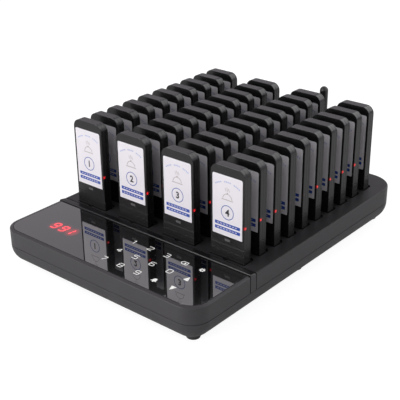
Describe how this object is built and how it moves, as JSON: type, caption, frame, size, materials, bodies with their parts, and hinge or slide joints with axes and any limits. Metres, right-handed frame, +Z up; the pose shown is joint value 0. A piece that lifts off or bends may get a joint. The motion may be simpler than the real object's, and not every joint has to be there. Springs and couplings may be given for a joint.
{
  "type": "guest pager system",
  "caption": "Table-top charging base with a flat touch console in front and a deck of upright plug-in guest pagers behind it, with a short folding antenna.",
  "frame": {"origin": "on the table, under the middle of the base", "axes": "+Z up; -Y towards the person who uses the console; +X to that person's right"},
  "size_m": [0.31, 0.42, 0.1656],
  "materials": {
    "casing": "satin charcoal moulding",
    "deck": "satin charcoal, darker on top",
    "strip": "gloss black",
    "foot_rubber": "matt",
    "black_glass": "gloss black glass",
    "circuit_board": "solder mask",
    "display": "red number display",
    "dark_plastic": "moulded",
    "contact_metal": "plated",
    "antenna_plastic": "satin black",
    "steel_pin": "turned",
    "pager": "satin near-black moulding",
    "label_card": "printed label under clear film",
    "light_window": "red light window"
  },
  "bodies": {
    "base": {"lower_shell": "casing", "feet": "foot_rubber", "console_shell": "casing", "touch_glass": "black_glass", "touch_board": "circuit_board", "number_display": "display", "main_board": "circuit_board", "sounder": "dark_plastic", "bridge_strip": "strip", "deck_shell": "deck", "charging_rack": "dark_plastic", "charging_contacts": "contact_metal", "charging_boards": "circuit_board", "antenna_socket": "contact_metal", "power_inlet": "dark_plastic"},
    "antenna_collar": {"antenna_swivel": "antenna_plastic", "antenna_pin": "steel_pin"},
    "antenna_whip": {"antenna_mast": "antenna_plastic"},
    "pager_01": {"pager_01": "pager"},
    "pager_02": {"pager_02": "pager"},
    "pager_03": {"pager_03": "pager"},
    "pager_04": {"pager_04": "pager"},
    "pager_05": {"pager_05": "pager"},
    "pager_06": {"pager_06": "pager"},
    "pager_07": {"pager_07": "pager"},
    "pager_08": {"pager_08": "pager"},
    "pager_09": {"pager_09": "pager"},
    "pager_10": {"pager_10": "pager"},
    "pager_11": {"pager_11": "pager"},
    "pager_12": {"pager_12": "pager"},
    "pager_13": {"pager_13": "pager"},
    "pager_14": {"pager_14": "pager"},
    "pager_15": {"pager_15": "pager"},
    "pager_16": {"pager_16": "pager"},
    "pager_17": {"pager_17": "pager"},
    "pager_18": {"pager_18": "pager"},
    "pager_19": {"pager_19": "pager"},
    "pager_20": {"pager_20": "pager"},
    "pager_21": {"pager_21": "pager"},
    "pager_22": {"pager_22": "pager"},
    "pager_23": {"pager_23": "pager"},
    "pager_24": {"pager_24": "pager"},
    "pager_25": {"pager_25": "pager"},
    "pager_26": {"pager_26": "pager"},
    "pager_27": {"pager_27": "pager"},
    "pager_28": {"pager_28": "pager"},
    "pager_29": {"pager_29": "pager"},
    "pager_30": {"pager_30": "pager"},
    "pager_31": {"pager_31": "pager"},
    "pager_32": {"pager_32": "pager"},
    "pager_33": {"pager_33": "pager"},
    "pager_34": {"pager_34": "pager"},
    "pager_35": {"pager_35": "pager"},
    "pager_36": {"pager_36": "pager"},
    "pager_37": {"pager_37": "pager"},
    "pager_38": {"pager_38": "pager"},
    "pager_39": {"pager_39": "pager"},
    "pager_40": {"pager_40": "pager"}
  },
  "joints": [
    {"name": "antenna_turn", "type": "hinge", "parent": "base", "child": "antenna_collar", "pos_m": [0.045, 0.189, 0.052], "axis": [0, 0, 1], "range_deg": [-180, 180]},
    {"name": "antenna_tilt", "type": "hinge", "parent": "antenna_collar", "child": "antenna_whip", "pos_m": [0.045, 0.189, 0.07], "axis": [0, -1, 0], "range_deg": [0, 90]},
    {"name": "pager_01_lift", "type": "slide", "parent": "base", "child": "pager_01", "axis": [0, 0, 1], "range_m": [0, 0.13]},
    {"name": "pager_02_lift", "type": "slide", "parent": "base", "child": "pager_02", "axis": [0, 0, 1], "range_m": [0, 0.13]},
    {"name": "pager_03_lift", "type": "slide", "parent": "base", "child": "pager_03", "axis": [0, 0, 1], "range_m": [0, 0.13]},
    {"name": "pager_04_lift", "type": "slide", "parent": "base", "child": "pager_04", "axis": [0, 0, 1], "range_m": [0, 0.13]},
    {"name": "pager_05_lift", "type": "slide", "parent": "base", "child": "pager_05", "axis": [0, 0, 1], "range_m": [0, 0.13]},
    {"name": "pager_06_lift", "type": "slide", "parent": "base", "child": "pager_06", "axis": [0, 0, 1], "range_m": [0, 0.13]},
    {"name": "pager_07_lift", "type": "slide", "parent": "base", "child": "pager_07", "axis": [0, 0, 1], "range_m": [0, 0.13]},
    {"name": "pager_08_lift", "type": "slide", "parent": "base", "child": "pager_08", "axis": [0, 0, 1], "range_m": [0, 0.13]},
    {"name": "pager_09_lift", "type": "slide", "parent": "base", "child": "pager_09", "axis": [0, 0, 1], "range_m": [0, 0.13]},
    {"name": "pager_10_lift", "type": "slide", "parent": "base", "child": "pager_10", "axis": [0, 0, 1], "range_m": [0, 0.13]},
    {"name": "pager_11_lift", "type": "slide", "parent": "base", "child": "pager_11", "axis": [0, 0, 1], "range_m": [0, 0.13]},
    {"name": "pager_12_lift", "type": "slide", "parent": "base", "child": "pager_12", "axis": [0, 0, 1], "range_m": [0, 0.13]},
    {"name": "pager_13_lift", "type": "slide", "parent": "base", "child": "pager_13", "axis": [0, 0, 1], "range_m": [0, 0.13]},
    {"name": "pager_14_lift", "type": "slide", "parent": "base", "child": "pager_14", "axis": [0, 0, 1], "range_m": [0, 0.13]},
    {"name": "pager_15_lift", "type": "slide", "parent": "base", "child": "pager_15", "axis": [0, 0, 1], "range_m": [0, 0.13]},
    {"name": "pager_16_lift", "type": "slide", "parent": "base", "child": "pager_16", "axis": [0, 0, 1], "range_m": [0, 0.13]},
    {"name": "pager_17_lift", "type": "slide", "parent": "base", "child": "pager_17", "axis": [0, 0, 1], "range_m": [0, 0.13]},
    {"name": "pager_18_lift", "type": "slide", "parent": "base", "child": "pager_18", "axis": [0, 0, 1], "range_m": [0, 0.13]},
    {"name": "pager_19_lift", "type": "slide", "parent": "base", "child": "pager_19", "axis": [0, 0, 1], "range_m": [0, 0.13]},
    {"name": "pager_20_lift", "type": "slide", "parent": "base", "child": "pager_20", "axis": [0, 0, 1], "range_m": [0, 0.13]},
    {"name": "pager_21_lift", "type": "slide", "parent": "base", "child": "pager_21", "axis": [0, 0, 1], "range_m": [0, 0.13]},
    {"name": "pager_22_lift", "type": "slide", "parent": "base", "child": "pager_22", "axis": [0, 0, 1], "range_m": [0, 0.13]},
    {"name": "pager_23_lift", "type": "slide", "parent": "base", "child": "pager_23", "axis": [0, 0, 1], "range_m": [0, 0.13]},
    {"name": "pager_24_lift", "type": "slide", "parent": "base", "child": "pager_24", "axis": [0, 0, 1], "range_m": [0, 0.13]},
    {"name": "pager_25_lift", "type": "slide", "parent": "base", "child": "pager_25", "axis": [0, 0, 1], "range_m": [0, 0.13]},
    {"name": "pager_26_lift", "type": "slide", "parent": "base", "child": "pager_26", "axis": [0, 0, 1], "range_m": [0, 0.13]},
    {"name": "pager_27_lift", "type": "slide", "parent": "base", "child": "pager_27", "axis": [0, 0, 1], "range_m": [0, 0.13]},
    {"name": "pager_28_lift", "type": "slide", "parent": "base", "child": "pager_28", "axis": [0, 0, 1], "range_m": [0, 0.13]},
    {"name": "pager_29_lift", "type": "slide", "parent": "base", "child": "pager_29", "axis": [0, 0, 1], "range_m": [0, 0.13]},
    {"name": "pager_30_lift", "type": "slide", "parent": "base", "child": "pager_30", "axis": [0, 0, 1], "range_m": [0, 0.13]},
    {"name": "pager_31_lift", "type": "slide", "parent": "base", "child": "pager_31", "axis": [0, 0, 1], "range_m": [0, 0.13]},
    {"name": "pager_32_lift", "type": "slide", "parent": "base", "child": "pager_32", "axis": [0, 0, 1], "range_m": [0, 0.13]},
    {"name": "pager_33_lift", "type": "slide", "parent": "base", "child": "pager_33", "axis": [0, 0, 1], "range_m": [0, 0.13]},
    {"name": "pager_34_lift", "type": "slide", "parent": "base", "child": "pager_34", "axis": [0, 0, 1], "range_m": [0, 0.13]},
    {"name": "pager_35_lift", "type": "slide", "parent": "base", "child": "pager_35", "axis": [0, 0, 1], "range_m": [0, 0.13]},
    {"name": "pager_36_lift", "type": "slide", "parent": "base", "child": "pager_36", "axis": [0, 0, 1], "range_m": [0, 0.13]},
    {"name": "pager_37_lift", "type": "slide", "parent": "base", "child": "pager_37", "axis": [0, 0, 1], "range_m": [0, 0.13]},
    {"name": "pager_38_lift", "type": "slide", "parent": "base", "child": "pager_38", "axis": [0, 0, 1], "range_m": [0, 0.13]},
    {"name": "pager_39_lift", "type": "slide", "parent": "base", "child": "pager_39", "axis": [0, 0, 1], "range_m": [0, 0.13]},
    {"name": "pager_40_lift", "type": "slide", "parent": "base", "child": "pager_40", "axis": [0, 0, 1], "range_m": [0, 0.13]}
  ]
}
